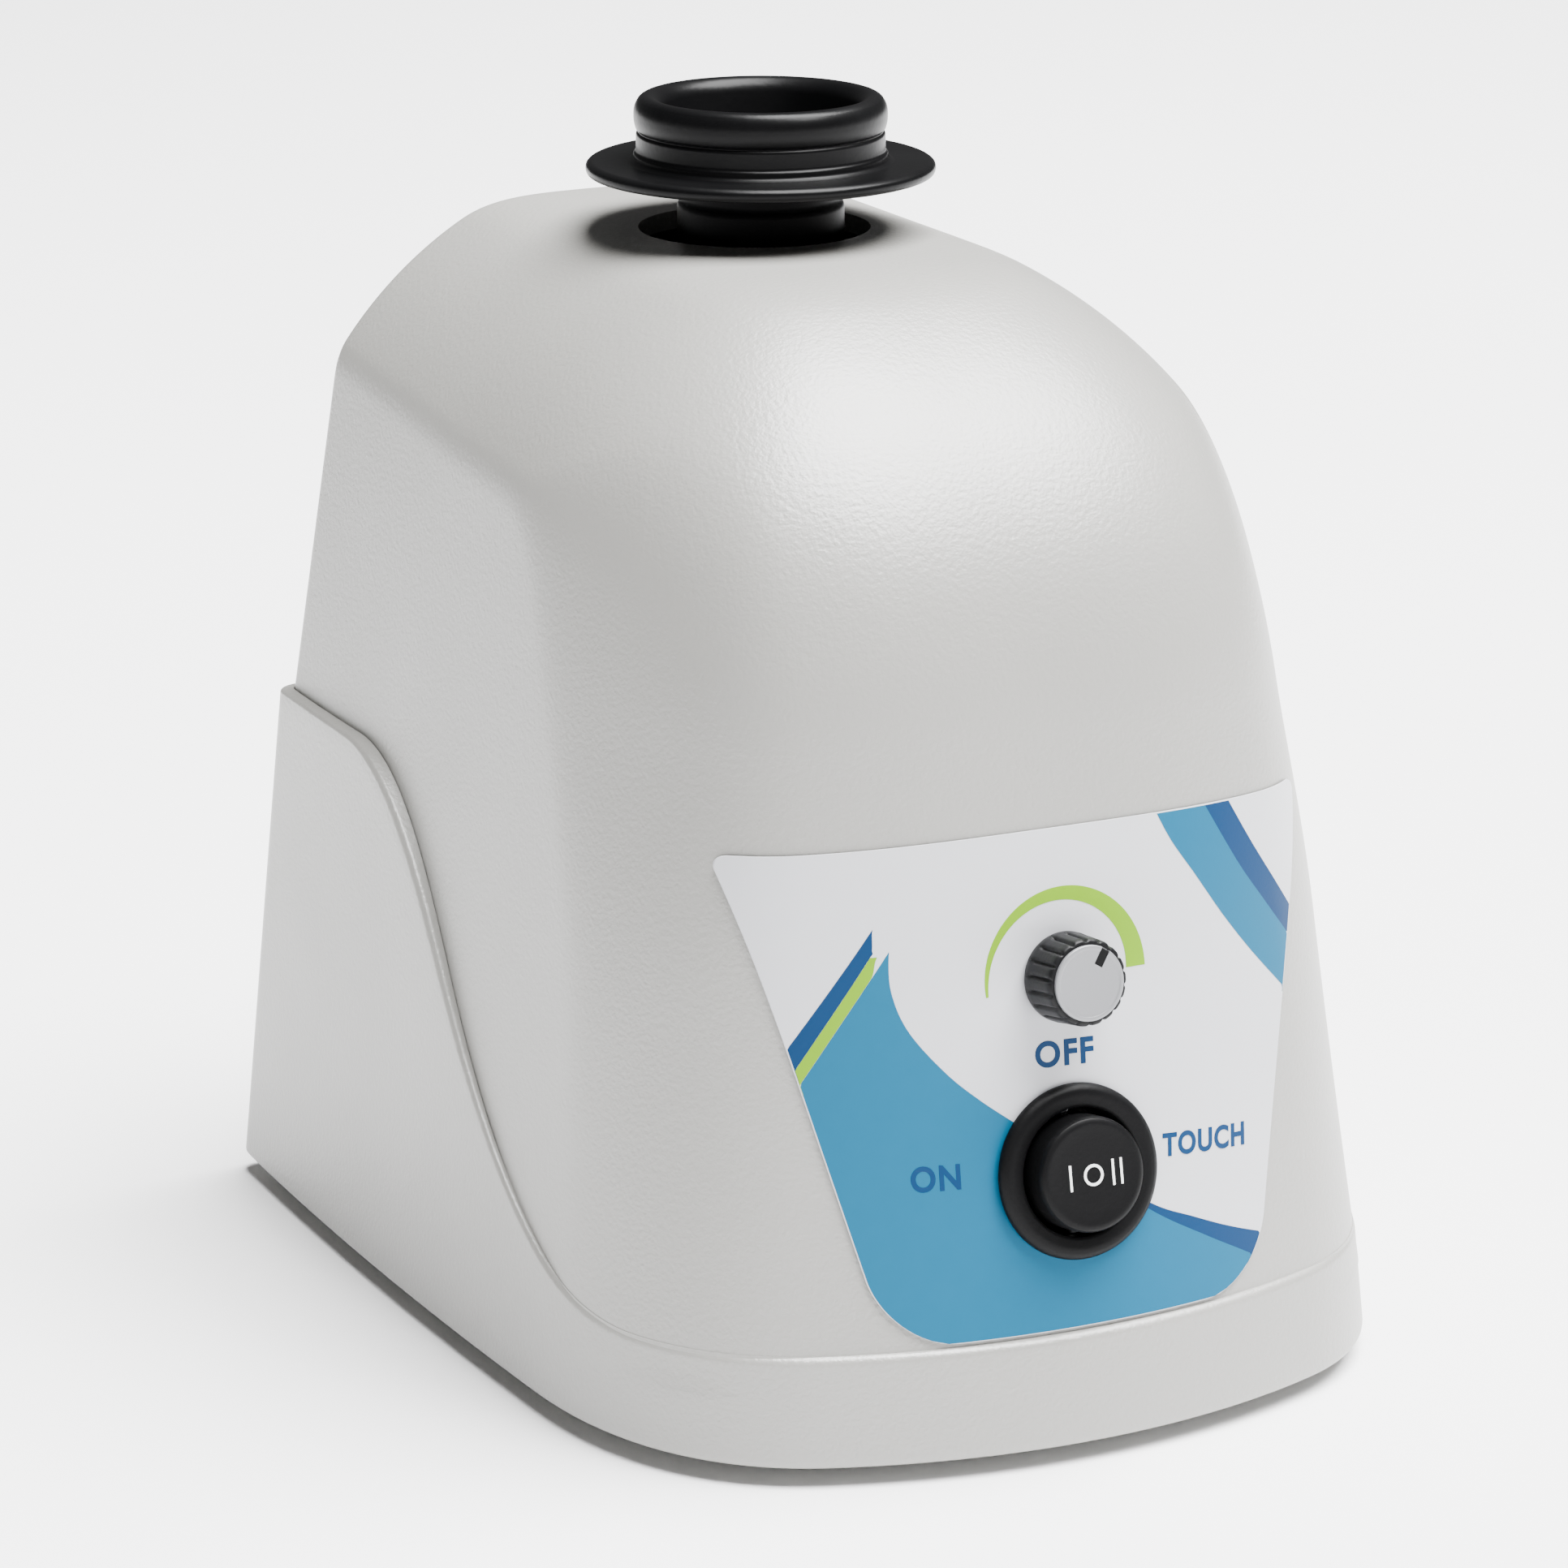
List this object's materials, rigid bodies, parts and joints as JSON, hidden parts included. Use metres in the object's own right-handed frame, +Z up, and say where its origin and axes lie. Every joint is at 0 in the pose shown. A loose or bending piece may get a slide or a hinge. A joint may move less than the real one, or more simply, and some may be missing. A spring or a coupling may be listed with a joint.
{
  "type": "vortex mixer",
  "caption": "Benchtop vortex mixer: domed housing on a stepped base, rubber cup head on an eccentric, speed knob and three-way rocker on a leaning front panel.",
  "frame": {"origin": "centre of the footprint on the bench, at the bottom of the feet", "axes": "+Z up, the control panel faces -Y, +X to the right of a person facing the panel from behind the object"},
  "size_m": [0.121, 0.1554, 0.1632],
  "materials": {
    "housing_plastic": "fine moulded texture",
    "film": "printed satin film",
    "cup_rubber": "smooth satin black",
    "foot_rubber": "matte black",
    "black_plastic": "fine satin",
    "knob_plastic": "satin",
    "knob_disc": "metallised, spun",
    "pointer_paint": "matte",
    "rocker_plastic": "semi-gloss",
    "steel": "zinc plated",
    "spring_steel": "bright wire",
    "laminations": "stacked sheet",
    "iron": "painted dark",
    "aluminium": "die cast",
    "copper": "enamelled wire",
    "brass_contacts": "plated",
    "nylon": "natural",
    "board_green": "solder mask",
    "capacitor_yellow": "moulded",
    "capacitor_sleeve": "shrink sleeve",
    "terminal_green": "moulded",
    "plunger_red": "moulded",
    "fuse_glass": "clear with metal caps",
    "lead_insulation": "PVC"
  },
  "bodies": {
    "chassis": {"upper_housing": "housing_plastic", "lower_housing": "housing_plastic", "panel_overlay": "film", "ballast_plate": "iron", "feet": "foot_rubber", "foot_screws": "steel", "housing_screws": "steel", "guide_posts": "steel", "touch_springs": "spring_steel", "touch_switch": "black_plastic", "switch_bracket": "steel", "control_board": "board_green", "board_standoffs": "brass_contacts", "board_screws": "steel", "filter_capacitor": "capacitor_yellow", "filter_choke": "copper", "smoothing_capacitors": "capacitor_sleeve", "triac": "black_plastic", "heatsink": "aluminium", "terminal_block": "terminal_green", "pot_board": "board_green", "pot_body": "steel", "pot_screws": "steel", "rocker_housing": "rocker_plastic", "rocker_pin": "steel", "rocker_terminals": "brass_contacts", "power_inlet": "black_plastic", "inlet_pins": "brass_contacts", "inlet_screws": "steel", "wiring": "lead_insulation"},
    "carriage": {"carriage_plate": "steel", "guide_bushes": "nylon", "motor_can": "steel", "motor_cap_lower": "aluminium", "motor_cap_upper": "aluminium", "motor_screws": "steel", "stator_core": "laminations", "stator_windings": "copper", "motor_bearing_outers": "steel"},
    "rotor": {"rotor_core": "laminations", "motor_shaft": "steel", "motor_bearing_inners": "steel", "cooling_fan": "black_plastic", "eccentric_hub": "aluminium", "counterweight": "steel", "hub_set_screw": "steel", "head_bearing_inners": "steel", "head_retaining_screw": "steel"},
    "cup_head": {"head_neck": "black_plastic", "rubber_cup": "cup_rubber", "head_bearing_outers": "steel"},
    "touch_lever": {"switch_lever": "spring_steel"},
    "touch_plunger": {"switch_plunger": "plunger_red"},
    "speed_control": {"speed_knob": "knob_plastic", "knob_cap": "knob_disc", "knob_pointer": "pointer_paint", "pot_shaft": "steel"},
    "rocker": {"rocker_button": "rocker_plastic"},
    "fuse_carrier": {"fuse_drawer": "black_plastic", "fuse": "fuse_glass"}
  },
  "joints": [
    {"name": "touch_press", "type": "slide", "parent": "chassis", "child": "carriage", "axis": [0, 0, -1], "range_m": [0, 0.002], "stiffness_N_per_m": 4500, "springref_m": -0.005, "deforming": ["touch_springs"]},
    {"name": "rotor_spin", "type": "hinge", "parent": "carriage", "child": "rotor", "pos_m": [0, 0.0248, 0.08], "axis": [0, 0, 1], "continuous": true},
    {"name": "cup_orbit", "type": "hinge", "parent": "rotor", "child": "cup_head", "pos_m": [0, 0.0228, 0.14], "axis": [0, 0, 1], "continuous": true},
    {"name": "lever_tilt", "type": "hinge", "parent": "chassis", "child": "touch_lever", "pos_m": [-0.008, -0.0064, 0.035], "axis": [0, 1, 0], "range_deg": [0, 7.2]},
    {"name": "plunger_press", "type": "slide", "parent": "chassis", "child": "touch_plunger", "axis": [0, 0, -1], "range_m": [0, 0.0006]},
    {"name": "speed_turn", "type": "hinge", "parent": "chassis", "child": "speed_control", "pos_m": [0, -0.0655, 0.0624], "axis": [0, -0.9887, 0.1497], "range_deg": [-108, 172]},
    {"name": "rocker_tilt", "type": "hinge", "parent": "chassis", "child": "rocker", "pos_m": [0, -0.06787, 0.03692], "axis": [0, 0.1901, 0.9818], "range_deg": [-9, 9]},
    {"name": "fuse_pull", "type": "slide", "parent": "chassis", "child": "fuse_carrier", "axis": [0, 0.9922, 0.125], "range_m": [0, 0.0115]}
  ],
  "couplings": [
    {"joint": "cup_orbit", "follows": "rotor_spin", "ratio": -1},
    {"joint": "lever_tilt", "follows": "touch_press", "rad_per_m": 60},
    {"joint": "plunger_press", "follows": "touch_press", "ratio": 0.25}
  ]
}
